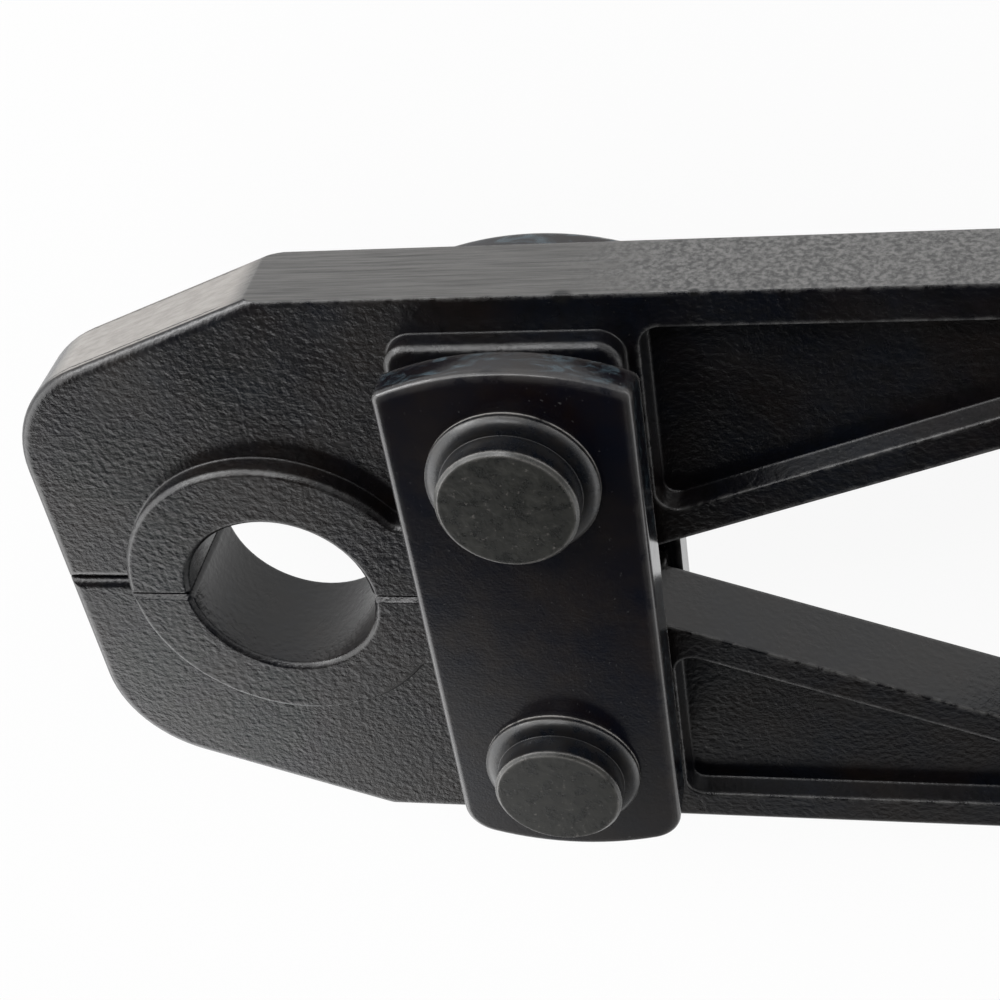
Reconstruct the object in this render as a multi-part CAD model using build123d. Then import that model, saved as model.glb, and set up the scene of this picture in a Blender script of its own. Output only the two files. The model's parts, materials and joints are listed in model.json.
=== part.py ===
from build123d import *
from math import atan2, cos, degrees, pi, radians, sin, sqrt, tan
import os

# Copper ring crimping tool for half-inch plastic pipe.
# Two die jaws swing on pins between two link plates. A long handle is bolted to the tail of each jaw,
# and the handles meet at a centre bolt, so that closing them pushes the tails apart with great force.
#
# Millimetres. The origin is the centre of the closed die, midway through the jaws' thickness.
# +X runs from the die towards the handles, +Y towards the upper jaw, +Z out of the front link plate.
# The tool is modelled closed, lying flat on its back.

# Die and jaws
die_diameter = 18.0
die_corner_radius = 0.6
boss_diameter = 30.2
web_thickness = 8.0
land_height = 2.15
land_edge = 0.4
seam_gap = 0.16
nose_reach = 22.5
nose_bevel_angle = 21.0
nose_corner_radius = 12.0
shoulder_x = 3.1
jaw_half_height = 31.4
jaw_edge_radius = 1.0
grinding_depth = 0.6
land_neck_half_width = 8.6
land_neck_radius = 1.3

# Arms of the jaws, with a forged pocket on each face
parting_x = 22.5
arm_angle = 20.2
pocket_start_x = 36.0
pocket_end_x = 68.0
pocket_depth = 2.0
pocket_draft = 14.0
pocket_corner_radius = 1.8
outer_rib = 3.25
inner_rib = 3.0
tail_x = 79.0
tail_boss_radius = 9.0
tail_fillet_radius = 5.0

# Link plates and jaw pins
pin_x = 25.5
pin_y = 17.5
pin_radius = 5.5
pin_head_radius = 6.0
pin_head_rise = 2.3
pin_head_bevel = 0.3
flange_radius = 7.35
flange_rim = 0.55
flange_dome = 0.75
pin_tail = 3.6
pin_tail_bevel = 0.6
plate_width = 21.3
plate_half_length = 28.6
plate_end_bow = 2.2
plate_thickness = 4.5
plate_edge_radius = 0.6
plate_top_corner = 0.9
plate_bottom_corner = 3.6
plate_top_bevel = 1.5
pad_half_length = 28.0
pad_right_inset = 1.3
pad_corner_radius = 2.2
groove_depth = 0.6
ring_thickness = 1.2
ring_band = 1.9
ring_ear_radius = 1.7
ring_ear_hole = 0.8
ring_gap_angle = 44.0

# Handle yokes and the toggle
toggle_angle = 18.0
yoke_half_thickness = 8.0
yoke_boss_radius = 9.5
yoke_edge_chamfer = 0.9
fork_swing = 60.0
neck_dx = 29.0
neck_dy = 2.5
neck_radius = 10.5
tongue_boss_radius = 10.6
web_dx = 16.0
web_dy = 20.0
web_radius = 9.0
handle_slope = 2.5
collar_start = 4.0
collar_end = 12.0
collar_back = 12.0
collar_back_radius = 7.0
shank_radius = 7.5
shank_length = 36.0

# Stop screw between the yokes
stop_dx = 33.0
stop_lug_width = 11.0
stop_lug_half_thickness = 5.5
stop_lug_height = 7.6
stop_screw_radius = 3.0
stop_screw_reach = 12.0
stop_head_flats = 10.0
stop_head_height = 3.8
stop_nut_height = 3.2
stop_lug_corner = 2.0

# Tubes and grips
tube_radius = 9.5
tube_length = 278.0
tube_pin_offset = 14.0
tube_pin_radius = 2.5
tube_pin_recess = 0.4
grip_start = 165.0
grip_length = 135.0
grip_guard_radius = 15.5
grip_guard_width = 5.0
grip_guard_slope = 1.5
grip_neck_radius = 12.6
grip_neck_width = 4.0
grip_body_radius = 14.6
grip_shoulder_width = 9.0
grip_bead_width = 10.0
grip_bead_slope = 6.0
grip_end_radius = 6.0

# Bolts, nuts and washers
tail_bolt_radius = 4.5
tail_thread_radius = 4.0
tail_bolt_flats = 13.0
tail_head_height = 5.3
tail_nut_height = 6.5
tail_thread_end = 0.95
centre_bolt_radius = 5.0
centre_bolt_flats = 16.0
centre_head_height = 5.4
centre_nut_height = 5.4
centre_thread_end = 0.85
washer_radius = 10.0
washer_thickness = 1.2
bolt_end_bevel = 0.6

# Clearances
plate_gap = 0.05
pivot_clearance = 0.05
fastener_clearance = 0.02
cheek_gap = 0.2
tongue_gap = 0.3
slot_clearance = 0.7
toggle_clearance = 2.2
stop_gap = 0.3

# Places worked out from the sizes above
seam_y = seam_gap / 2
web_half = web_thickness / 2
land_half = web_half + land_height
plate_inner = land_half + plate_gap
plate_outer = plate_inner + plate_thickness
arm_slope = tan(radians(arm_angle))
bevel_slope = tan(radians(nose_bevel_angle))
die_radius = die_diameter / 2
upper_pin = (pin_x, pin_y)
tail = (tail_x, jaw_half_height - tail_boss_radius)
toggle_radius = tail[1] / cos(radians(toggle_angle))
centre = (tail[0] + toggle_radius * sin(radians(toggle_angle)), 0.0)
neck = (tail[0] + neck_dx, tail[1] + neck_dy)
slot_half = web_half + cheek_gap
tongue_half = slot_half - tongue_gap
centre_hole_radius = centre_bolt_radius + toggle_clearance
handle_place = Pos(neck[0], neck[1], 0) * Rot(0, 0, handle_slope)


def at(place):
    """Location of a point in the plane of the tool."""
    return Pos(place[0], place[1], 0)


def below(place):
    """The same place on the lower half of the tool."""
    return (place[0], -place[1])


def rod(radius, low, high, place=(0, 0)):
    """Round bar along Z between two heights."""
    return Pos(place[0], place[1], (low + high) / 2) * Cylinder(radius, high - low)


def slab(sketch, half):
    """A plane outline made into a plate, as far above the mid-plane as below it."""
    return extrude(sketch, half, both=True)


def cheeks(sketch, inner, outer):
    """The same outline as two plates, one each side of the mid-plane."""
    return slab(sketch, outer) - slab(sketch, inner)


def round_corner(sketch, point, radius):
    """Round the corner of an outline that lies nearest to a point."""
    corner = sketch.vertices().sort_by_distance((point[0], point[1], 0))[0]
    return fillet(corner, radius)


def strap(first, first_radius, second, second_radius):
    """Outline drawn tightly round two circles."""
    rounds = at(first) * Circle(first_radius) + at(second) * Circle(second_radius)
    return make_hull(rounds.edges())


def lower(shape):
    """Mirror image for the lower half of the tool."""
    return mirror(shape, about=Plane.XZ)


def arm_edge(x):
    """Height of the upper arm's inner edge at x."""
    return seam_y + (x - parting_x) * arm_slope


def jaw_outline(spare=0.0):
    """Flat outline of the upper jaw, with its half of the die, its tail boss and spare metal on the outer side."""
    top = jaw_half_height + spare
    nose_corner = (-nose_reach, jaw_half_height - (shoulder_x + nose_reach) * bevel_slope)
    outline = make_face(Polyline(
        (-nose_reach, seam_y), nose_corner, (shoulder_x + spare / bevel_slope, top), (tail_x, top),
        (tail_x, arm_edge(tail_x)), (parting_x, seam_y), close=True))
    outline = round_corner(outline, nose_corner, nose_corner_radius)
    outline += at(tail) * Circle(tail_boss_radius)
    drop = (tail[1] - arm_edge(tail[0])) * cos(radians(arm_angle))
    along = (tail[1] - arm_edge(tail[0])) * sin(radians(arm_angle)) + sqrt(tail_boss_radius**2 - drop**2)
    meeting_x = tail[0] - along * cos(radians(arm_angle))
    outline = round_corner(outline, (meeting_x, arm_edge(meeting_x)), tail_fillet_radius)
    outline -= Circle(die_radius)
    for side in (-1, 1):
        outline = round_corner(outline, (side * die_radius, seam_y), die_corner_radius)
    return outline


def land_outline(outline):
    """Raised flat round the die, which runs on under the link plate."""
    pad_left = pin_x - plate_width / 2
    pad_right = pin_x + plate_width / 2 - pad_right_inset
    pad = Pos((pad_left + pad_right) / 2, 0) * RectangleRounded(
        pad_right - pad_left, 2 * pad_half_length, pad_corner_radius)
    neck_length = (pad_left + pad_right) / 2
    land = Circle(boss_diameter / 2) + pad
    land += Pos(neck_length / 2, 0) * Rectangle(neck_length, 2 * land_neck_half_width)
    boss_meet = (sqrt((boss_diameter / 2)**2 - land_neck_half_width**2), land_neck_half_width)
    turn = atan2(land_neck_half_width, boss_meet[0])
    room = (pad_left - boss_meet[0] - land_edge) / (1 + tan((pi / 2 - turn) / 2))
    neck_radius = min(land_neck_radius, room)
    land = round_corner(land, boss_meet, neck_radius)
    land = round_corner(land, (pad_left, land_neck_half_width), neck_radius)
    return land & outline


def pocket_outline():
    """Forged pocket in the arm, between an outer rib and a slanting inner rib."""
    rise = inner_rib / cos(radians(arm_angle))
    top = jaw_half_height - outer_rib
    corners = [
        (pocket_start_x, arm_edge(pocket_start_x) + rise),
        (pocket_end_x, arm_edge(pocket_end_x) + rise),
        (pocket_end_x, top),
        (pocket_start_x, top),
    ]
    pocket = make_face(Polyline(*corners, close=True))
    return fillet(pocket.vertices(), pocket_corner_radius)


def upper_jaw():
    """Forged jaw: web with its outer side ground flat, raised land with the half die, pocketed arm, tail boss."""
    web = slab(jaw_outline(grinding_depth), web_half)
    rims = web.edges().filter_by(lambda edge: abs(abs(edge.center().Z) - web_half) < 0.001)
    nose_rims = rims.filter_by(lambda edge: edge.center().X < -die_radius and edge.center().Y > seam_gap)
    top_rims = rims.filter_by(lambda edge: edge.length > tail_x - shoulder_x - 2 * grinding_depth / bevel_slope)
    web = fillet(nose_rims + top_rims, jaw_edge_radius)
    web -= Pos((tail_x - nose_reach) / 2, jaw_half_height + grinding_depth, 0) * Box(
        2 * (tail_x + nose_reach), 2 * grinding_depth, 2 * web_thickness)
    land = slab(land_outline(jaw_outline()), land_half)
    land_rims = land.edges().filter_by(lambda edge: abs(abs(edge.center().Z) - land_half) < 0.001)
    land = chamfer(land_rims, land_edge)
    jaw = web + land
    pocket = extrude(Pos(0, 0, web_half) * pocket_outline(), pocket_depth, dir=(0, 0, -1), taper=pocket_draft)
    jaw -= pocket
    jaw -= mirror(pocket, about=Plane.XY)
    jaw -= rod(pin_radius + pivot_clearance, -plate_outer, plate_outer, upper_pin)
    jaw -= rod(tail_bolt_radius + pivot_clearance, -plate_outer, plate_outer, tail)
    return jaw


def link_plate():
    """Front link plate: bowed ends, the upper one bevelled on the jaws' side, rounder corners at the lower end."""
    left = pin_x - plate_width / 2
    right = pin_x + plate_width / 2
    corner_y = plate_half_length - plate_end_bow
    outline = make_face([
        Line((left, -corner_y), (left, corner_y)),
        ThreePointArc((left, corner_y), (pin_x, plate_half_length), (right, corner_y)),
        Line((right, corner_y), (right, -corner_y)),
        ThreePointArc((right, -corner_y), (pin_x, -plate_half_length), (left, -corner_y)),
    ])
    for x in (left, right):
        outline = round_corner(outline, (x, -corner_y), plate_bottom_corner)
    plate = extrude(Pos(0, 0, plate_inner) * outline, plate_thickness)
    inner_rim = plate.faces().sort_by(Axis.Z)[0].edges()
    plate = chamfer(inner_rim.sort_by(Axis.Y)[-1], plate_top_bevel)
    uprights = plate.edges().filter_by(Axis.Z).sort_by(Axis.Y)
    plate = fillet(uprights[-2:], plate_top_corner)
    plate = fillet(plate.faces().sort_by(Axis.Z)[-1].edges(), plate_edge_radius)
    for place in (upper_pin, below(upper_pin)):
        plate -= rod(pin_radius + fastener_clearance, plate_inner - 1, plate_outer + 1, place)
    return plate


def jaw_pin(place):
    """Pivot pin: domed flange and round head in front, grooved for a retaining ring behind."""
    flange_top = plate_outer + flange_rim + flange_dome
    head_top = flange_top + pin_head_rise
    back = -plate_outer - pin_tail
    groove_top = -plate_outer - plate_gap
    groove_bottom = groove_top - ring_thickness - 2 * fastener_clearance
    groove_radius = pin_radius - groove_depth
    profile = make_face([
        Line((0, back), (0, head_top)),
        Line((0, head_top), (pin_head_radius - pin_head_bevel, head_top)),
        Line((pin_head_radius - pin_head_bevel, head_top), (pin_head_radius, head_top - pin_head_bevel)),
        Line((pin_head_radius, head_top - pin_head_bevel), (pin_head_radius, flange_top)),
        TangentArc((pin_head_radius, flange_top), (flange_radius, plate_outer + flange_rim), tangent=(1, 0)),
        Line((flange_radius, plate_outer + flange_rim), (flange_radius, plate_outer)),
        Line((flange_radius, plate_outer), (pin_radius, plate_outer)),
        Line((pin_radius, plate_outer), (pin_radius, groove_top)),
        Line((pin_radius, groove_top), (groove_radius, groove_top)),
        Line((groove_radius, groove_top), (groove_radius, groove_bottom)),
        Line((groove_radius, groove_bottom), (pin_radius, groove_bottom)),
        Line((pin_radius, groove_bottom), (pin_radius, back + pin_tail_bevel)),
        Line((pin_radius, back + pin_tail_bevel), (pin_radius - pin_tail_bevel, back)),
        Line((pin_radius - pin_tail_bevel, back), (0, back)),
    ])
    return at(place) * revolve(Plane.XZ * profile, Axis.Z)


def retaining_ring(place):
    """Open spring ring with an ear each side of its gap."""
    inner = pin_radius - groove_depth + fastener_clearance
    outer = inner + ring_band
    ear_distance = outer + ring_ear_radius / 3
    half_gap = ring_gap_angle / 2
    reach = 2 * outer
    wedge = make_face(Polyline(
        (0, 0), (reach * cos(radians(half_gap)), reach * sin(radians(half_gap))), (2 * reach, 0),
        (reach * cos(radians(half_gap)), -reach * sin(radians(half_gap))), close=True))
    ring = Circle(outer) - wedge
    for side in (-1, 1):
        turn = side * (half_gap + degrees(ring_ear_radius / ear_distance))
        ear = Pos(ear_distance * cos(radians(turn)), ear_distance * sin(radians(turn)))
        ring += ear * Circle(ring_ear_radius)
        ring -= ear * Circle(ring_ear_hole)
    ring -= Circle(inner)
    top = -plate_outer - plate_gap - fastener_clearance
    return Pos(place[0], place[1], top - ring_thickness) * extrude(ring, ring_thickness)


def hex_block(flats, height, hole=0.0, both_ends=False):
    """Hexagon head or nut standing on z = 0, with its corners turned down."""
    corner = flats / sqrt(3)
    face = flats / 2
    slope = (corner - face) * tan(radians(30))
    foot = [(face, 0), (corner, slope)] if both_ends else [(corner, 0)]
    turned = make_face(Polyline((0, 0), *foot, (corner, height - slope), (face, height), (0, height), close=True))
    block = extrude(RegularPolygon(face, 6, major_radius=False), height)
    block &= revolve(Plane.XZ * turned, Axis.Z)
    if hole:
        block -= rod(hole, -1, height + 1)
    return block


def bolt(place, seat, shank, shank_end, thread, end, flats, head_height):
    """Hexagon bolt pointing down: its head sits at height seat, its tip is at height end."""
    body = Pos(place[0], place[1], seat) * hex_block(flats, head_height)
    body += rod(shank, shank_end, seat, place)
    tip = rod(thread, end, shank_end, place)
    tip = chamfer(tip.faces().sort_by(Axis.Z)[0].edges(), bolt_end_bevel)
    return body + tip


def tail_bolt(place):
    """Shoulder bolt through a yoke's fork and the jaw's tail."""
    end = -yoke_half_thickness - tail_nut_height - tail_thread_end
    return bolt(place, yoke_half_thickness, tail_bolt_radius, -yoke_half_thickness,
                tail_thread_radius, end, tail_bolt_flats, tail_head_height)


def tail_nut(place):
    """Hexagon nut on the tail bolt."""
    nut = hex_block(tail_bolt_flats, tail_nut_height, tail_thread_radius + fastener_clearance, both_ends=True)
    return Pos(place[0], place[1], -yoke_half_thickness - tail_nut_height) * nut


def centre_bolt():
    """Bolt that joins the two handles."""
    seat = yoke_half_thickness + washer_thickness
    end = -seat - centre_nut_height - centre_thread_end
    return bolt(centre, seat, centre_bolt_radius, -seat, centre_bolt_radius, end,
                centre_bolt_flats, centre_head_height)


def centre_nut():
    """Hexagon nut on the centre bolt."""
    nut = hex_block(centre_bolt_flats, centre_nut_height, centre_bolt_radius + fastener_clearance, both_ends=True)
    return Pos(centre[0], centre[1], -yoke_half_thickness - washer_thickness - centre_nut_height) * nut


def centre_washers():
    """Flat washers under the centre bolt's head and nut."""
    washer = extrude(Circle(washer_radius) - Circle(centre_bolt_radius + fastener_clearance), washer_thickness)
    front = Pos(centre[0], centre[1], yoke_half_thickness) * washer
    back = Pos(centre[0], centre[1], -yoke_half_thickness - washer_thickness) * washer
    return Compound(children=[front, back])


def along_handle(shape):
    """Put a shape that was made along the X axis on the upper handle's axis."""
    return handle_place * shape


def fork_slot():
    """Space in a yoke's fork for the jaw's tail, through the whole swing of its arm."""
    room = tail_boss_radius + slot_clearance
    length = 3 * tail_boss_radius
    swing = at(tail) * Rot(0, 0, -fork_swing) * Pos(-length / 2, room / 2)
    return slab(at(tail) * Circle(room) + swing * Rectangle(length, room), slot_half)


def yoke_bar():
    """What both yokes share: the bar from the tail bolt to the tube, its collar and its shank."""
    bar = slab(strap(tail, yoke_boss_radius, neck, neck_radius), yoke_half_thickness)
    bar = chamfer(bar.edges().filter_by(Plane.XY), yoke_edge_chamfer)
    collar = revolve(make_face(Polyline(
        (-collar_back, 0), (-collar_back, collar_back_radius), (collar_start, neck_radius),
        (collar_end, neck_radius), (collar_end, shank_radius), (collar_end + shank_length, shank_radius),
        (collar_end + shank_length, 0), close=True)), Axis.X)
    bar += along_handle(collar)
    bar -= fork_slot()
    bar -= rod(tail_bolt_radius + fastener_clearance, -plate_outer, plate_outer, tail)
    pin_s = collar_end + tube_pin_offset
    bar -= along_handle(rod(tube_pin_radius, -plate_outer, plate_outer, (pin_s, 0)))
    return bar


def web_outline(boss_radius):
    """Outline of the web that carries the centre pivot."""
    foot = (centre[0] + web_dx, web_dy)
    return strap(centre, boss_radius, foot, web_radius)


def stop_lug(reach):
    """Lug on the inner side of the upper yoke's bar, down to a height above the tool's centreline."""
    top = neck[1]
    lug = Box(stop_lug_width, top - reach, 2 * stop_lug_half_thickness)
    lug = Pos(tail[0] + stop_dx, (top + reach) / 2, 0) * lug
    upright = lug.edges().filter_by(Axis.Y)
    return fillet(upright, stop_lug_corner)


def upper_yoke():
    """Upper handle's forging: fork for the jaw's tail, tongue for the centre pivot, lug for the stop screw."""
    tongue = slab(web_outline(tongue_boss_radius), tongue_half)
    tongue -= fork_slot()
    yoke = yoke_bar() + tongue + stop_lug(stop_lug_height)
    yoke -= rod(centre_hole_radius, -plate_outer, plate_outer, centre)
    hole_top = stop_lug_height + stop_screw_reach + 1
    hole = rod(stop_screw_radius + fastener_clearance, 0, hole_top - stop_lug_height + 1)
    yoke -= Pos(tail[0] + stop_dx, stop_lug_height - 1, 0) * Rot(-90, 0, 0) * hole
    return yoke


def lower_yoke():
    """Lower handle's forging: forks for the jaw's tail and for the other yoke's tongue, and an anvil lug."""
    fork = cheeks(web_outline(yoke_boss_radius), slot_half, yoke_half_thickness)
    anvil_top = stop_gap - stop_head_bottom()
    yoke = yoke_bar() + fork + stop_lug(anvil_top)
    yoke -= slab(at(centre) * Circle(tongue_boss_radius + slot_clearance), slot_half)
    yoke -= rod(centre_bolt_radius + fastener_clearance, -plate_outer, plate_outer, centre)
    return lower(yoke)


def stop_head_bottom():
    """Height of the stop screw's contact face above the centreline."""
    return stop_lug_height - stop_nut_height - stop_head_height


def stop_screw():
    """Hexagon screw that sets how far the handles close."""
    head = hex_block(stop_head_flats, stop_head_height)
    shank = rod(stop_screw_radius, -stop_nut_height - stop_screw_reach, 0)
    screw = Rot(90, 0, 0) * (head + shank)
    return Pos(tail[0] + stop_dx, stop_head_bottom() + stop_head_height, 0) * screw


def stop_lock_nut():
    """Thin nut that locks the stop screw against its lug."""
    nut = hex_block(stop_head_flats, stop_nut_height, stop_screw_radius + fastener_clearance, both_ends=True)
    return Pos(tail[0] + stop_dx, stop_lug_height, 0) * Rot(90, 0, 0) * nut


def handle_tube():
    """Steel tube pushed over the yoke's shank and held by a cross pin."""
    outside = Circle(tube_radius)
    tube = extrude(Plane.YZ.offset(collar_end) * (outside - Circle(shank_radius + fastener_clearance)), tube_length)
    tube -= rod(tube_pin_radius, -plate_outer, plate_outer, (collar_end + tube_pin_offset, 0))
    return along_handle(tube)


def tube_pin():
    """Cross pin through the tube and the yoke's shank."""
    half = tube_radius - tube_pin_recess
    return along_handle(rod(tube_pin_radius, -half, half, (collar_end + tube_pin_offset, 0)))


def grip():
    """Moulded rubber sleeve with a guard ring, a waist behind it, and a closed end with a bead."""
    end = grip_start + grip_length
    tube_end = collar_end + tube_length
    guard_back = grip_start + grip_guard_width
    neck_back = guard_back + grip_neck_width
    bead_front = end - grip_bead_width
    dome_start = end - grip_end_radius
    outer = Polyline(
        (grip_start, grip_neck_radius), (grip_start + grip_guard_slope, grip_guard_radius),
        (guard_back, grip_guard_radius), (neck_back, grip_neck_radius),
        (neck_back + grip_shoulder_width, grip_body_radius),
        (bead_front - grip_bead_slope, grip_body_radius),
        (bead_front, grip_guard_radius), (dome_start, grip_guard_radius))
    rim = grip_guard_radius - grip_end_radius
    corner = grip_end_radius * sin(radians(45))
    dome = ThreePointArc((dome_start, grip_guard_radius), (dome_start + corner, rim + corner), (end, rim))
    inner = Polyline(
        (end, rim), (end, 0), (tube_end, 0), (tube_end, tube_radius),
        (grip_start, tube_radius), (grip_start, grip_neck_radius))
    profile = make_face([outer, dome, inner])
    return along_handle(revolve(profile, Axis.X))


parts = {
    "upper_jaw": upper_jaw(),
    "front_link_plate": link_plate(),
    "upper_jaw_pin": jaw_pin(upper_pin),
    "lower_jaw_pin": jaw_pin(below(upper_pin)),
    "upper_pin_ring": retaining_ring(upper_pin),
    "lower_pin_ring": retaining_ring(below(upper_pin)),
    "upper_yoke": upper_yoke(),
    "lower_yoke": lower_yoke(),
    "upper_tail_bolt": tail_bolt(tail),
    "lower_tail_bolt": tail_bolt(below(tail)),
    "upper_tail_nut": tail_nut(tail),
    "lower_tail_nut": tail_nut(below(tail)),
    "centre_bolt": centre_bolt(),
    "centre_nut": centre_nut(),
    "centre_washers": centre_washers(),
    "stop_screw": stop_screw(),
    "stop_lock_nut": stop_lock_nut(),
    "upper_tube": handle_tube(),
    "upper_tube_pin": tube_pin(),
    "upper_grip": grip(),
}
parts["lower_jaw"] = lower(parts["upper_jaw"])
parts["back_link_plate"] = mirror(parts["front_link_plate"], about=Plane.XY)
parts["lower_tube"] = lower(parts["upper_tube"])
parts["lower_tube_pin"] = lower(parts["upper_tube_pin"])
parts["lower_grip"] = lower(parts["upper_grip"])

os.makedirs("parts", exist_ok=True)
for name, shape in parts.items():
    export_step(shape, f"parts/{name}.step")
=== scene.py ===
import json
from math import cos, pi, radians, sin

import bpy
from mathutils import Matrix, Vector


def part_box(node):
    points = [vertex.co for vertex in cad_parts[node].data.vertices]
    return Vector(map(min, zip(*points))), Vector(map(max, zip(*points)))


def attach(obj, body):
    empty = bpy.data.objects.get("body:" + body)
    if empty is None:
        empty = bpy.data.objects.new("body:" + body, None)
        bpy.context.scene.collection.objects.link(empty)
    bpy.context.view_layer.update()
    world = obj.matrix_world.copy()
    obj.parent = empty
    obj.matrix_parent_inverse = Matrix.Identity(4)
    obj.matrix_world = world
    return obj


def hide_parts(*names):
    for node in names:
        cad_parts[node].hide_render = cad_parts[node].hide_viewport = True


# Looks of the crimping tool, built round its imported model. Everything is in metres in the model's own frame:
# +X from the die to the handles, +Y towards the upper jaw, +Z out of the front link plate.

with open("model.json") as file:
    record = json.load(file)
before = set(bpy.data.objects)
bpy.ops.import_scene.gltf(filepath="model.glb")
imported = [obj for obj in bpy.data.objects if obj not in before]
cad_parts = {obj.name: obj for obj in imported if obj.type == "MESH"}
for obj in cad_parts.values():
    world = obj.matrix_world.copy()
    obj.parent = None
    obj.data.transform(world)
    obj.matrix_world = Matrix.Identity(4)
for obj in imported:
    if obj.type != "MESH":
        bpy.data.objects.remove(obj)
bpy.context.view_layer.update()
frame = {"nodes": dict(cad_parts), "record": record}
mm = 0.001

# Camera, from the fit of the tool's edges in the photograph
camera_place = (0.05596, 0.10626, 0.11919)
camera_tilt = -0.6954
camera_turn = 0.2215
camera_lens = 62.70
camera_sensor = 36.0

# Places that the details share with the model, in millimetres
lay_height = min(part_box(name)[0].z for name in frame["nodes"])
jaw_half_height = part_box("upper_jaw")[1].y / mm
web_half = 4.0
rim_radius = 1.0
shoulder_x = 3.1
nose_slope = 0.384
ground_end_x = 34.0
# Two dents in the outer rim, shown only as spots of painted shade: place along X and radius
dent_shade_spots = ((30.2, 1.0), (40.8, 0.6))

# Grips, in millimetres along and out from the handle's axis
handle_slope = radians(2.5)
grip_length = 135.0
grip_bore = 9.5
grip_guard_radius = 15.5
grip_guard_width = 5.0
grip_neck_radius = 12.6
grip_neck_end = 9.0
grip_shoulder_end = 18.0
grip_body_radius = 14.6
grip_bead_start = 119.0
grip_bead_width = 6.0
grip_end_radius = 6.0
grip_groove_pitch = 6.4
grip_groove_depth = 1.3
grip_groove_width = 2.6
grip_strip_angle = radians(17)


def make(tree, kind, inputs=None, **settings):
    """Add a shader node; an input is given a number, a colour or another node's output."""
    node = tree.nodes.new("ShaderNode" + kind)
    for name, value in settings.items():
        setattr(node, name, value)
    for name, value in (inputs or {}).items():
        if isinstance(value, bpy.types.NodeSocket):
            tree.links.new(value, node.inputs[name])
        else:
            node.inputs[name].default_value = value
    return node


def math(tree, operation, first, second=0.0):
    return make(tree, "Math", {0: first, 1: second}, operation=operation).outputs[0]


def times(tree, first, *others):
    """Product of several masks."""
    for other in others:
        first = math(tree, "MULTIPLY", first, other)
    return first


def spread(tree, value, low, high, to_low=0.0, to_high=1.0, shape="LINEAR"):
    """Map the range low to high onto another range, and stop at its ends."""
    node = make(tree, "MapRange", {"Value": value, "From Min": low, "From Max": high,
                                   "To Min": to_low, "To Max": to_high}, interpolation_type=shape)
    return node.outputs["Result"]


def band(tree, value, middle, half_width, softness):
    """Mask of the values within half_width of the middle, with soft ends."""
    distance = math(tree, "ABSOLUTE", math(tree, "SUBTRACT", value, middle))
    return spread(tree, distance, half_width + softness, half_width)


def mix(tree, factor, first, second):
    """Mix two colours."""
    node = make(tree, "Mix", {"Factor": factor, 6: first, 7: second}, data_type="RGBA")
    return node.outputs[2]


def grey(level, warm=0.0):
    """A grey of a linear level, warmer or cooler by a share of itself."""
    return (level * (1 + warm), level, level * (1 - warm), 1.0)


def coordinates(tree, stretch=(1, 1, 1)):
    """Object coordinates in millimetres, squeezed by a factor along each axis."""
    place = make(tree, "TexCoord").outputs["Object"]
    scale = tuple(factor / mm for factor in stretch)
    return make(tree, "Mapping", {"Vector": place, "Scale": scale}).outputs[0]


def axes(tree):
    """Place along X, Y and Z in millimetres."""
    return make(tree, "SeparateXYZ", {0: coordinates(tree)}).outputs


def noise(tree, where, size, detail=2.0, roughness=0.5):
    """Soft noise whose blotches are about size millimetres across."""
    node = make(tree, "TexNoise", {"Vector": where, "Scale": 1 / size, "Detail": detail, "Roughness": roughness})
    return node.outputs[0]


def pits(tree, where, size):
    """Rounded cells about size millimetres across, from 0 at their middles to 1."""
    node = make(tree, "TexVoronoi", {"Vector": where, "Scale": 1 / size}, feature="SMOOTH_F1")
    return node.outputs["Distance"]


def bump(tree, height, depth, below=None):
    """Normal of a relief whose height runs from 0 to 1 for a depth in millimetres."""
    inputs = {"Height": height, "Distance": depth * mm, "Strength": 1.0}
    if below:
        inputs["Normal"] = below
    return make(tree, "Bump", inputs).outputs[0]


def soft_edges(tree, radius):
    """Normal that rounds sharp edges by a radius in millimetres."""
    size = math(tree, "MULTIPLY", radius, mm)
    return make(tree, "Bevel", {"Radius": size}, samples=8).outputs[0]


def worn_edges(tree, reach, where, patch, low=0.42, high=0.58):
    """Mask of the outward edges, broken up by patches of wear."""
    inside = make(tree, "AmbientOcclusion", {"Distance": reach * mm}, samples=8, inside=True, only_local=True)
    edge = spread(tree, inside.outputs["AO"], 0.94, 0.6)
    blotches = spread(tree, noise(tree, where, patch, 4.0, 0.65), low, high)
    return times(tree, edge, blotches)


def facing(tree, direction, low, high):
    """Mask of the surfaces that face along a direction of the model, or against it."""
    normal = make(tree, "TexCoord").outputs["Normal"]
    product = make(tree, "VectorMath", {0: normal, 1: direction}, operation="DOT_PRODUCT").outputs["Value"]
    return spread(tree, math(tree, "ABSOLUTE", product), low, high)


def new_material(name):
    material = bpy.data.materials.new(name)
    material.use_nodes = True
    material.node_tree.nodes.clear()
    return material, material.node_tree


def finish_material(tree, **inputs):
    """Principled shader with the given inputs, wired to the output."""
    named = {name.replace("_", " "): value for name, value in inputs.items()}
    shader = make(tree, "BsdfPrincipled", named)
    tree.links.new(shader.outputs[0], make(tree, "OutputMaterial").inputs["Surface"])


def forged_skin(tree, where):
    """Height of a forging's pebbled skin, from 0 to 1."""
    peel = noise(tree, where, 0.5, 2.0, 0.6)
    pebbles = pits(tree, where, 0.7)
    return mix(tree, 0.35, peel, pebbles)


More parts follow.
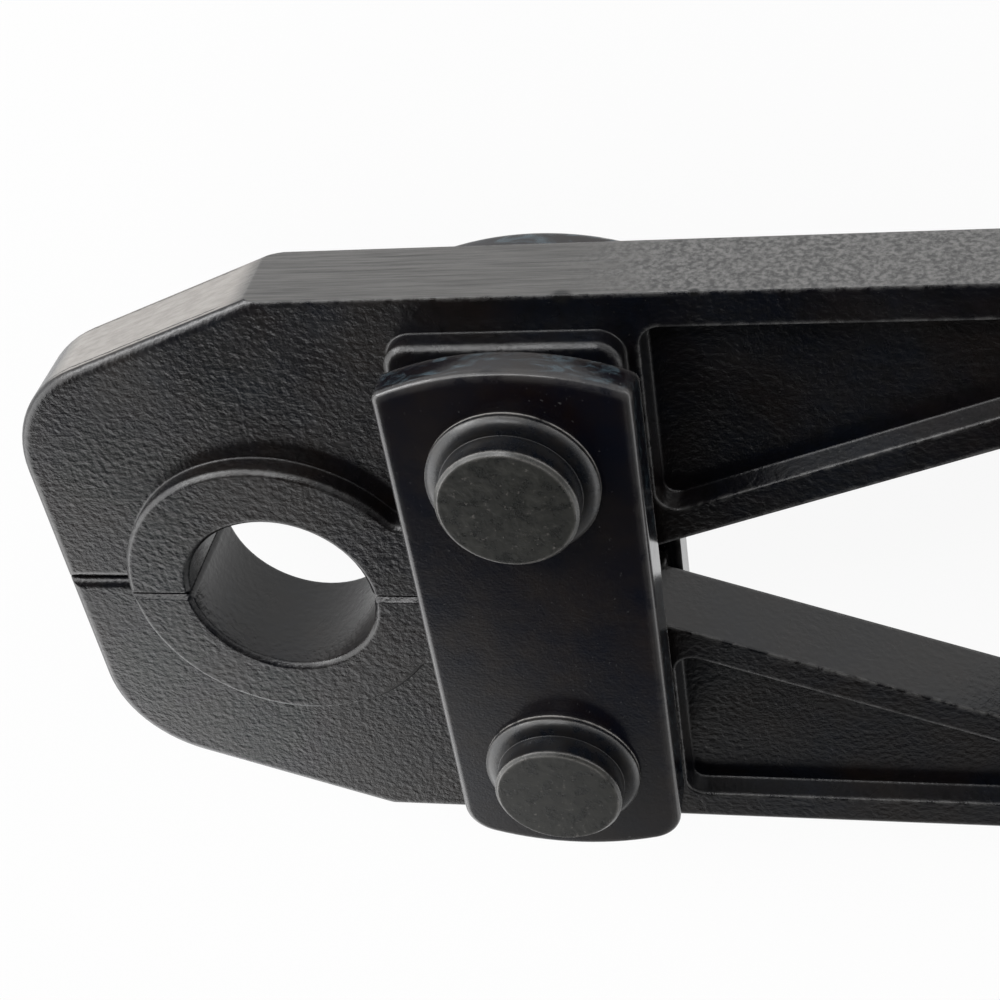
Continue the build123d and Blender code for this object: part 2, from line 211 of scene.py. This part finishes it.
def forged_colour(tree, where):
    """Black oxide that wanders between blue, brown and near black, with a few light grains."""
    patch = noise(tree, where, 11.0, 4.0, 0.6)
    fleck = noise(tree, where, 1.1, 3.0, 0.6)
    colour = mix(tree, spread(tree, patch, 0.38, 0.62), (0.0018, 0.0026, 0.0050, 1), (0.0058, 0.0040, 0.0036, 1))
    colour = mix(tree, spread(tree, fleck, 0.4, 0.7, 0.0, 0.6), colour, grey(0.0012))
    grain = noise(tree, where, 0.2, 1.0, 0.5)
    return mix(tree, spread(tree, grain, 0.74, 0.8, 0.0, 0.5), colour, grey(0.06, 0.05))


def jaw_black():
    """Jaw forging: pebbled skin, and a ground outer side with lengthwise lines as far as the arm."""
    material, tree = new_material("jaw_black")
    where = coordinates(tree)
    x, y, z = axes(tree)
    across = facing(tree, (0, 0, 1), 0.35, 0.2)
    beyond = math(tree, "MULTIPLY", math(tree, "MAXIMUM", math(tree, "SUBTRACT", shoulder_x, x), 0.0), nose_slope)
    inside = math(tree, "SUBTRACT", math(tree, "SUBTRACT", jaw_half_height, beyond), math(tree, "ABSOLUTE", y))
    outer_side = times(tree, facing(tree, (0, 1, 0), 0.8, 0.9), across, spread(tree, inside, 1.6, 0.8))
    ragged = math(tree, "ADD", x, spread(tree, noise(tree, coordinates(tree, (0.15, 1, 1)), 0.8, 3.0, 0.6), 0, 1, -6, 6))
    ground = times(tree, outer_side, spread(tree, ragged, ground_end_x + 4, ground_end_x - 4))
    nose = times(tree, outer_side, spread(tree, x, shoulder_x, shoulder_x - 2))

    lines = noise(tree, coordinates(tree, (0.03, 1, 1)), 0.28, 3.0, 0.7)
    fibres = noise(tree, coordinates(tree, (0.25, 0.6, 1)), 0.5, 3.0, 0.6)
    colour = forged_colour(tree, where)
    # Beyond the ground part the outer side is speckled in a lighter grey: partly its rough scale, partly painted
    # sheen and glints that the side catches.
    rough_side_with_painted_sheen = mix(tree, spread(tree, noise(tree, where, 0.45, 4.0, 0.7), 0.4, 0.62), grey(0.03), grey(0.12, 0.02))
    colour = mix(tree, outer_side, colour, rough_side_with_painted_sheen)
    ground_side = mix(tree, spread(tree, lines, 0.3, 0.6), grey(0.03, 0.02), grey(0.08, 0.03))
    colour = mix(tree, ground, colour, ground_side)
    # The nose's side is painted a light warm grey: partly bare ground steel, partly painted light that stands for
    # the light the side catches.
    nose_side_with_painted_light = mix(tree, spread(tree, fibres, 0.35, 0.65), grey(0.19, 0.07), grey(0.25, 0.06))
    colour = mix(tree, nose, colour, nose_side_with_painted_light)

    edge = times(tree, worn_edges(tree, 0.5, where, 1.2), spread(tree, math(tree, "ABSOLUTE", y), 1.0, 2.5))
    colour = mix(tree, times(tree, edge, 0.6), colour, grey(0.12, 0.02))
    # The groove mask paints a dark ragged line on the side along the nose's front rim: painted shade in the crease
    # where the rim starts to round over.
    rim_height = math(tree, "SUBTRACT", math(tree, "ABSOLUTE", z), web_half - rim_radius)
    ragged_rim = math(tree, "ADD", rim_height, spread(tree, noise(tree, where, 0.6, 3.0, 0.6), 0, 1, -0.14, 0.14))
    groove = times(tree, band(tree, ragged_rim, 0.0, 0.05, 0.06), spread(tree, x, 1.5, 0.0), across)
    colour = mix(tree, groove, colour, grey(0.004))
    # Dark spots at the two rim dents are painted shade of their hollows; the mesh has no dents.
    for dent_x, radius in dent_shade_spots:
        centre = (dent_x, jaw_half_height, web_half)
        away = make(tree, "VectorMath", {0: where, 1: centre}, operation="DISTANCE").outputs["Value"]
        colour = mix(tree, spread(tree, away, radius, radius * 0.5), colour, grey(0.006))

    relief = mix(tree, ground, forged_skin(tree, where), lines)
    relief = mix(tree, nose, relief, fibres)
    trim = times(tree, band(tree, z, -0.8, 0.04, 0.3), outer_side, 0.3)
    relief = math(tree, "ADD", relief, trim)
    rounding = spread(tree, math(tree, "ABSOLUTE", y), 0.3, 1.5, 0.04, 0.42)
    normal = bump(tree, relief, 0.07, soft_edges(tree, rounding))
    roughness = spread(tree, noise(tree, where, 9.0, 3.0, 0.5), 0.3, 0.7, 0.22, 0.3)
    roughness = mix(tree, outer_side, roughness, grey(0.4))
    finish_material(tree, Base_Color=colour, Roughness=roughness, Specular_IOR_Level=0.5, Normal=normal)
    return material


def yoke_black():
    """Handle forging: the same pebbled skin, with a trimmed flash line round its middle."""
    material, tree = new_material("yoke_black")
    where = coordinates(tree)
    z = axes(tree)["Z"]
    upright = facing(tree, (0, 0, 1), 0.5, 0.3)
    flash = times(tree, band(tree, z, 0.0, 0.5, 0.15), upright)
    shear = noise(tree, coordinates(tree, (1, 1, 0.1)), 0.35, 2.0, 0.6)
    colour = forged_colour(tree, where)
    colour = mix(tree, times(tree, flash, 0.6), colour, mix(tree, shear, grey(0.012), grey(0.05, 0.04)))
    edge = worn_edges(tree, 0.6, where, 2.2)
    colour = mix(tree, times(tree, edge, 0.7), colour, grey(0.2, 0.03))
    relief = mix(tree, flash, forged_skin(tree, where), math(tree, "ADD", math(tree, "MULTIPLY", shear, 0.5), 0.9))
    normal = bump(tree, relief, 0.055, soft_edges(tree, 0.42))
    roughness = spread(tree, noise(tree, where, 9.0, 3.0, 0.5), 0.3, 0.7, 0.24, 0.32)
    finish_material(tree, Base_Color=colour, Roughness=roughness, Specular_IOR_Level=0.5, Normal=normal)
    return material


def plate_black():
    """Smooth blackened plate: side walls lighter in swirled patches, partly scuffs and partly painted reflection;
    rims rubbed lighter, partly wear and partly painted highlight.
    """
    material, tree = new_material("plate_black")
    where = coordinates(tree)
    patch = noise(tree, where, 6.0, 4.0, 0.6)
    colour = mix(tree, spread(tree, patch, 0.35, 0.65), (0.0016, 0.0022, 0.0055, 1), (0.0045, 0.0026, 0.0026, 1))
    # The side walls get lighter bluish patches in a lengthwise swirl: partly scuffing, partly painted reflection of
    # the pale surroundings.
    wall = facing(tree, (0, 0, 1), 0.35, 0.15)
    swirl = make(tree, "TexNoise", {"Vector": coordinates(tree, (0.35, 1, 1)), "Scale": 0.8, "Detail": 3.0,
                                    "Roughness": 0.6, "Distortion": 1.6}).outputs[0]
    colour = mix(tree, times(tree, wall, spread(tree, swirl, 0.5, 0.7)), colour, (0.03, 0.045, 0.055, 1))
    speck = noise(tree, where, 0.3, 1.0, 0.5)
    colour = mix(tree, spread(tree, speck, 0.74, 0.8, 0.0, 0.6), colour, grey(0.06))
    # The rims are painted lighter: partly rubbed wear, partly a painted highlight that widens the bright band along
    # the rounded rims.
    edge = worn_edges(tree, 0.8, where, 3.0, 0.25, 0.5)
    colour = mix(tree, times(tree, edge, 0.6), colour, grey(0.2, 0.03))
    relief = mix(tree, 0.5, noise(tree, where, 0.7, 3.0, 0.55), noise(tree, where, 0.25, 2.0, 0.5))
    normal = bump(tree, relief, 0.012, soft_edges(tree, 0.25))
    roughness = spread(tree, patch, 0.3, 0.7, 0.15, 0.2)
    finish_material(tree, Base_Color=colour, Roughness=roughness, Specular_IOR_Level=0.5, Normal=normal)
    return material


def pin_black():
    """Blackened pin: matt mottled end faces, and rims painted bright, partly wear and partly painted highlight."""
    material, tree = new_material("pin_black")
    where = coordinates(tree)
    z = axes(tree)["Z"]
    head_top = (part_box("upper_jaw_pin")[1].z / mm) - 0.25
    end_face = spread(tree, z, head_top - 0.1, head_top)
    patch = noise(tree, where, 1.6, 5.0, 0.7)
    colour = mix(tree, spread(tree, patch, 0.35, 0.65), (0.0018, 0.003, 0.0055, 1), (0.006, 0.005, 0.0045, 1))
    stain = mix(tree, spread(tree, patch, 0.35, 0.68), (0.003, 0.0035, 0.003, 1), (0.013, 0.013, 0.010, 1))
    colour = mix(tree, end_face, colour, stain)
    fleck = noise(tree, where, 0.45, 3.0, 0.65)
    colour = mix(tree, times(tree, end_face, spread(tree, fleck, 0.62, 0.72, 0.0, 0.8)), colour, grey(0.085, 0.08))
    # The rims are painted bright grey: partly rubbed steel, partly painted highlight standing for the bright rim
    # lines that the light draws.
    edge = worn_edges(tree, 0.3, where, 2.0, 0.3, 0.5)
    colour = mix(tree, edge, colour, grey(0.36, 0.04))
    relief = noise(tree, where, 0.5, 4.0, 0.6)
    normal = bump(tree, relief, 0.016, soft_edges(tree, 0.14))
    roughness = spread(tree, patch, 0.3, 0.7, 0.24, 0.34)
    finish_material(tree, Base_Color=colour, Roughness=roughness, Specular_IOR_Level=0.5, Normal=normal)
    return material


def steel(name, dark, light, roughness, metallic):
    """Plain steel part with faint grain and rubbed edges."""
    material, tree = new_material(name)
    where = coordinates(tree)
    patch = noise(tree, where, 3.0, 4.0, 0.6)
    colour = mix(tree, spread(tree, patch, 0.3, 0.7), grey(dark, 0.02), grey(light, 0.02))
    edge = worn_edges(tree, 0.3, where, 1.5)
    colour = mix(tree, times(tree, edge, 0.6), colour, grey(min(0.6, light * 2.5), 0.02))
    grain = noise(tree, where, 0.25, 3.0, 0.6)
    normal = bump(tree, grain, 0.012, soft_edges(tree, 0.15))
    rough = spread(tree, patch, 0.3, 0.7, roughness - 0.05, roughness + 0.06)
    finish_material(tree, Base_Color=colour, Roughness=rough, Metallic=metallic, Normal=normal)
    return material


def tube_black():
    """Powder coat with a slight orange peel."""
    material, tree = new_material("tube_black")
    where = coordinates(tree)
    patch = noise(tree, where, 14.0, 3.0, 0.5)
    colour = mix(tree, spread(tree, patch, 0.3, 0.7), grey(0.009, -0.05), grey(0.013))
    peel = noise(tree, where, 1.3, 2.0, 0.5)
    dust = noise(tree, where, 0.3, 2.0, 0.5)
    normal = bump(tree, mix(tree, 0.25, peel, dust), 0.03, soft_edges(tree, 0.25))
    roughness = spread(tree, patch, 0.3, 0.7, 0.26, 0.34)
    finish_material(tree, Base_Color=colour, Roughness=roughness, Specular_IOR_Level=0.5, Normal=normal)
    return material


def grip_rubber():
    """Matt moulded rubber, a little dusty in patches."""
    material, tree = new_material("grip_rubber")
    where = coordinates(tree)
    patch = noise(tree, where, 11.0, 4.0, 0.6)
    colour = mix(tree, spread(tree, patch, 0.3, 0.7), grey(0.013, 0.03), grey(0.022, 0.03))
    dust = noise(tree, where, 0.9, 4.0, 0.7)
    colour = mix(tree, spread(tree, dust, 0.6, 0.75, 0.0, 0.35), colour, grey(0.06, 0.05))
    skin = noise(tree, where, 0.28, 3.0, 0.6)
    normal = bump(tree, skin, 0.04)
    roughness = spread(tree, patch, 0.3, 0.7, 0.5, 0.64)
    finish_material(tree, Base_Color=colour, Roughness=roughness, Specular_IOR_Level=0.4, Normal=normal)
    return material


def dress_frame():
    """Give every node of the model the material of its slot; the two kinds of forging have their own."""
    materials = {
        "forged_black": yoke_black(),
        "plate_black": plate_black(),
        "pin_black": pin_black(),
        "spring_steel": steel("spring_steel", 0.05, 0.1, 0.4, 0.8),
        "bolt_steel": steel("bolt_steel", 0.045, 0.08, 0.38, 0.7),
        "washer_steel": steel("washer_steel", 0.34, 0.46, 0.32, 1.0),
        "tube_black": tube_black(),
        "grip_rubber": grip_rubber(),
    }
    jaw = jaw_black()
    for part in frame["record"]["subparts"]:
        node = frame["nodes"][part["node"]]
        node.data.materials.clear()
        node.data.materials.append(jaw if part["node"].endswith("_jaw") else materials[part["material_slot"]])
        node.data.shade_smooth()
        node.data.set_sharp_from_angle(angle=radians(32))
    return materials


def smooth_step(value, low, high):
    """0 below low, 1 above high, and an even S between them."""
    share = min(1.0, max(0.0, (value - low) / (high - low)))
    return share * share * (3 - 2 * share)


def grip_radius(along, angle):
    """Outer radius of the grip: guard ring, waist, ribbed body with two plain strips, bead."""
    radius = grip_body_radius
    if along < grip_guard_width + 4:
        radius = grip_neck_radius + (grip_guard_radius - grip_neck_radius) * smooth_step(
            along, grip_guard_width + 4, grip_guard_width)
    elif along < grip_shoulder_end:
        radius = grip_neck_radius + (grip_body_radius - grip_neck_radius) * smooth_step(
            along, grip_neck_end, grip_shoulder_end)
    elif along > grip_bead_start:
        radius = grip_body_radius + (grip_guard_radius - grip_body_radius) * smooth_step(
            along, grip_bead_start, grip_bead_start + grip_bead_width)
    ribs_start = grip_shoulder_end + 2
    ribs_end = grip_bead_start - 3
    if ribs_start < along < ribs_end:
        count = round((ribs_end - ribs_start) / grip_groove_pitch)
        phase = (along - ribs_start) / (ribs_end - ribs_start) * count % 1.0
        distance = abs(phase - 0.5) * grip_groove_pitch
        groove = 1 - smooth_step(distance, grip_groove_width / 2 - 0.9, grip_groove_width / 2 + 0.3)
        strip = abs((angle + pi / 2) % pi - pi / 2)
        radius -= grip_groove_depth * groove * smooth_step(strip, grip_strip_angle - 0.05, grip_strip_angle + 0.09)
    return radius


def grip_profile():
    """Places along the grip and a share of the outer radius there, from the mouth to the middle of the end."""
    rings = [(1.5, grip_bore), (0.3, grip_bore + 0.4), (0.0, grip_bore + 1.2), (0.0, grip_neck_radius)]
    rings += [(0.7, grip_guard_radius - 0.9), (1.5, grip_guard_radius - 0.15)]
    return rings


def ribbed_grip(name, node, side):
    """Moulded grip that stands for the plain one, with finger ribs and a plain unribbed strip on each side."""
    start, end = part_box(node)
    turn = 72
    step = 0.4
    last = grip_length - grip_end_radius
    rings = [[radius] * turn for along, radius in grip_profile()]
    places = [along for along, radius in grip_profile()]
    along = 2.0
    while along < last:
        places.append(along)
        rings.append([grip_radius(along, 2 * pi * i / turn) for i in range(turn)])
        along += step
    for i in range(0, 9):
        bend = radians(90 * i / 9)
        places.append(last + grip_end_radius * sin(bend))
        rings.append([grip_guard_radius - grip_end_radius * (1 - cos(bend))] * turn)
    flat = grip_guard_radius - grip_end_radius
    for share in (1.0, 0.97, 0.9, 0.86, 0.5):
        places.append(grip_length - (0.5 if share < 0.95 else 0.0))
        rings.append([flat * share] * turn)
    verts = []
    for along, ring in zip(places, rings):
        for i, radius in enumerate(ring):
            angle = 2 * pi * i / turn
            verts.append((along * mm, radius * mm * cos(angle), radius * mm * sin(angle)))
    faces = []
    for ring in range(len(rings) - 1):
        for i in range(turn):
            first = ring * turn + i
            following = ring * turn + (i + 1) % turn
            faces.append((first, first + turn, following + turn, following))
    verts.append(((grip_length - 0.5) * mm, 0, 0))
    hub = len(verts) - 1
    base = (len(rings) - 1) * turn
    faces += [(base + i, hub, base + (i + 1) % turn) for i in range(turn)]
    mesh = bpy.data.meshes.new(name)
    mesh.from_pydata(verts, [], faces)
    mesh.shade_smooth()
    grip = bpy.data.objects.new(name, mesh)
    bpy.context.scene.collection.objects.link(grip)
    grip.matrix_world = grip_place(side)
    return grip


def grip_place(side):
    """Where the grip's mouth lies and how it points: the pin through the tube gives the handle's axis."""
    low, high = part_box("upper_tube_pin")
    pin = (low + high) / 2
    reach = (165.0 - 26.0) * mm
    x = pin.x + reach * cos(handle_slope)
    y = (pin.y + reach * sin(handle_slope)) * side
    return Matrix.Translation((x, y, 0)) @ Matrix.Rotation(side * handle_slope, 4, "Z")


def add_grips(materials):
    for side, half in ((1, "upper"), (-1, "lower")):
        grip = ribbed_grip(half + "_ribbed_grip", half + "_grip", side)
        grip.data.materials.append(materials["grip_rubber"])
        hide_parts(half + "_grip")
        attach(grip, half + "_handle")


def add_camera():
    """Camera of the photograph."""
    data = bpy.data.cameras.new("camera")
    data.lens = camera_lens
    data.sensor_width = camera_sensor
    data.clip_start = 0.005
    data.clip_end = 20.0
    camera = bpy.data.objects.new("camera", data)
    turn = Matrix.Rotation(camera_tilt, 4, "X") @ Matrix.Rotation(camera_turn, 4, "Y")
    camera.matrix_world = Matrix.Translation(camera_place) @ turn
    bpy.context.scene.collection.objects.link(camera)
    bpy.context.scene.camera = camera


def add_world():
    """Studio surroundings: a pale wall round the horizon, brighter left in front and behind, dark overhead."""
    world = bpy.data.worlds.new("studio")
    world.use_nodes = True
    tree = world.node_tree
    tree.nodes.clear()
    x, y, z = make(tree, "SeparateXYZ", {0: make(tree, "TexCoord").outputs["Generated"]}).outputs
    wall = spread(tree, z, 0.71, 0.62, 0.0, 1.0, "SMOOTHSTEP")
    left = spread(tree, x, -0.14, -0.44, 0.0, 2.7, "SMOOTHSTEP")
    behind = spread(tree, y, 0.25, 0.7, 0.0, 0.8, "SMOOTHSTEP")
    right = times(tree, spread(tree, x, 0.45, 0.8, 0.0, 2.0), spread(tree, z, 0.45, 0.25))
    glow = math(tree, "ADD", math(tree, "ADD", right, 0.42), math(tree, "ADD", left, behind))
    glow = math(tree, "ADD", times(tree, glow, wall), 0.01)
    shade = make(tree, "CombineColor", {0: glow, 1: glow, 2: glow}).outputs[0]
    path = make(tree, "LightPath").outputs
    seen = math(tree, "MAXIMUM", path["Is Camera Ray"], path["Is Transmission Ray"])
    colour = mix(tree, seen, shade, (1, 1, 1, 1))
    background = make(tree, "Background", {"Color": colour, "Strength": 1.0})
    tree.links.new(background.outputs[0], make(tree, "OutputWorld").inputs["Surface"])
    bpy.context.scene.world = world


def add_floor():
    """Pale floor that the tool lies on; it looks almost white and keeps a trace of the tool's shadow."""
    size = 6.0
    mesh = bpy.data.meshes.new("floor")
    corners = [(x * size, y * size, lay_height) for x, y in ((-1, -1), (1, -1), (1, 1), (-1, 1))]
    mesh.from_pydata(corners, [], [(0, 1, 2, 3)])
    floor = bpy.data.objects.new("floor", mesh)
    bpy.context.scene.collection.objects.link(floor)
    material, tree = new_material("floor")
    matt = make(tree, "BsdfDiffuse", {"Color": grey(0.86)}).outputs[0]
    white = make(tree, "Emission", {"Color": (1, 1, 1, 1), "Strength": 1.0}).outputs[0]
    path = make(tree, "LightPath").outputs
    seen = math(tree, "MAXIMUM", path["Is Camera Ray"], path["Is Transmission Ray"])
    share = times(tree, math(tree, "MAXIMUM", seen, path["Is Glossy Ray"]), 0.93)
    both = make(tree, "MixShader", {0: share, 1: matt, 2: white}).outputs[0]
    tree.links.new(both, make(tree, "OutputMaterial").inputs["Surface"])
    mesh.materials.append(material)


def add_lamp(name, place, target, width, height, power):
    """Soft box at a place, aimed at a target."""
    data = bpy.data.lights.new(name, "AREA")
    data.shape = "RECTANGLE"
    data.size = width
    data.size_y = height
    data.energy = power
    lamp = bpy.data.objects.new(name, data)
    lamp.location = place
    lamp.rotation_euler = (Vector(target) - Vector(place)).to_track_quat("-Z", "Y").to_euler()
    bpy.context.scene.collection.objects.link(lamp)


def add_lights():
    head = (0.03, 0.0, 0.0)
    add_lamp("back_box", (-0.1, 0.74, 0.58), head, 0.4, 0.14, 1.6)
    add_lamp("left_box", (-0.7, 0.6, 0.25), head, 0.4, 0.3, 2.5)


def main():
    bpy.context.scene.view_settings.view_transform = "Standard"
    add_camera()
    add_world()
    add_lights()
    add_floor()
    add_grips(dress_frame())


main()
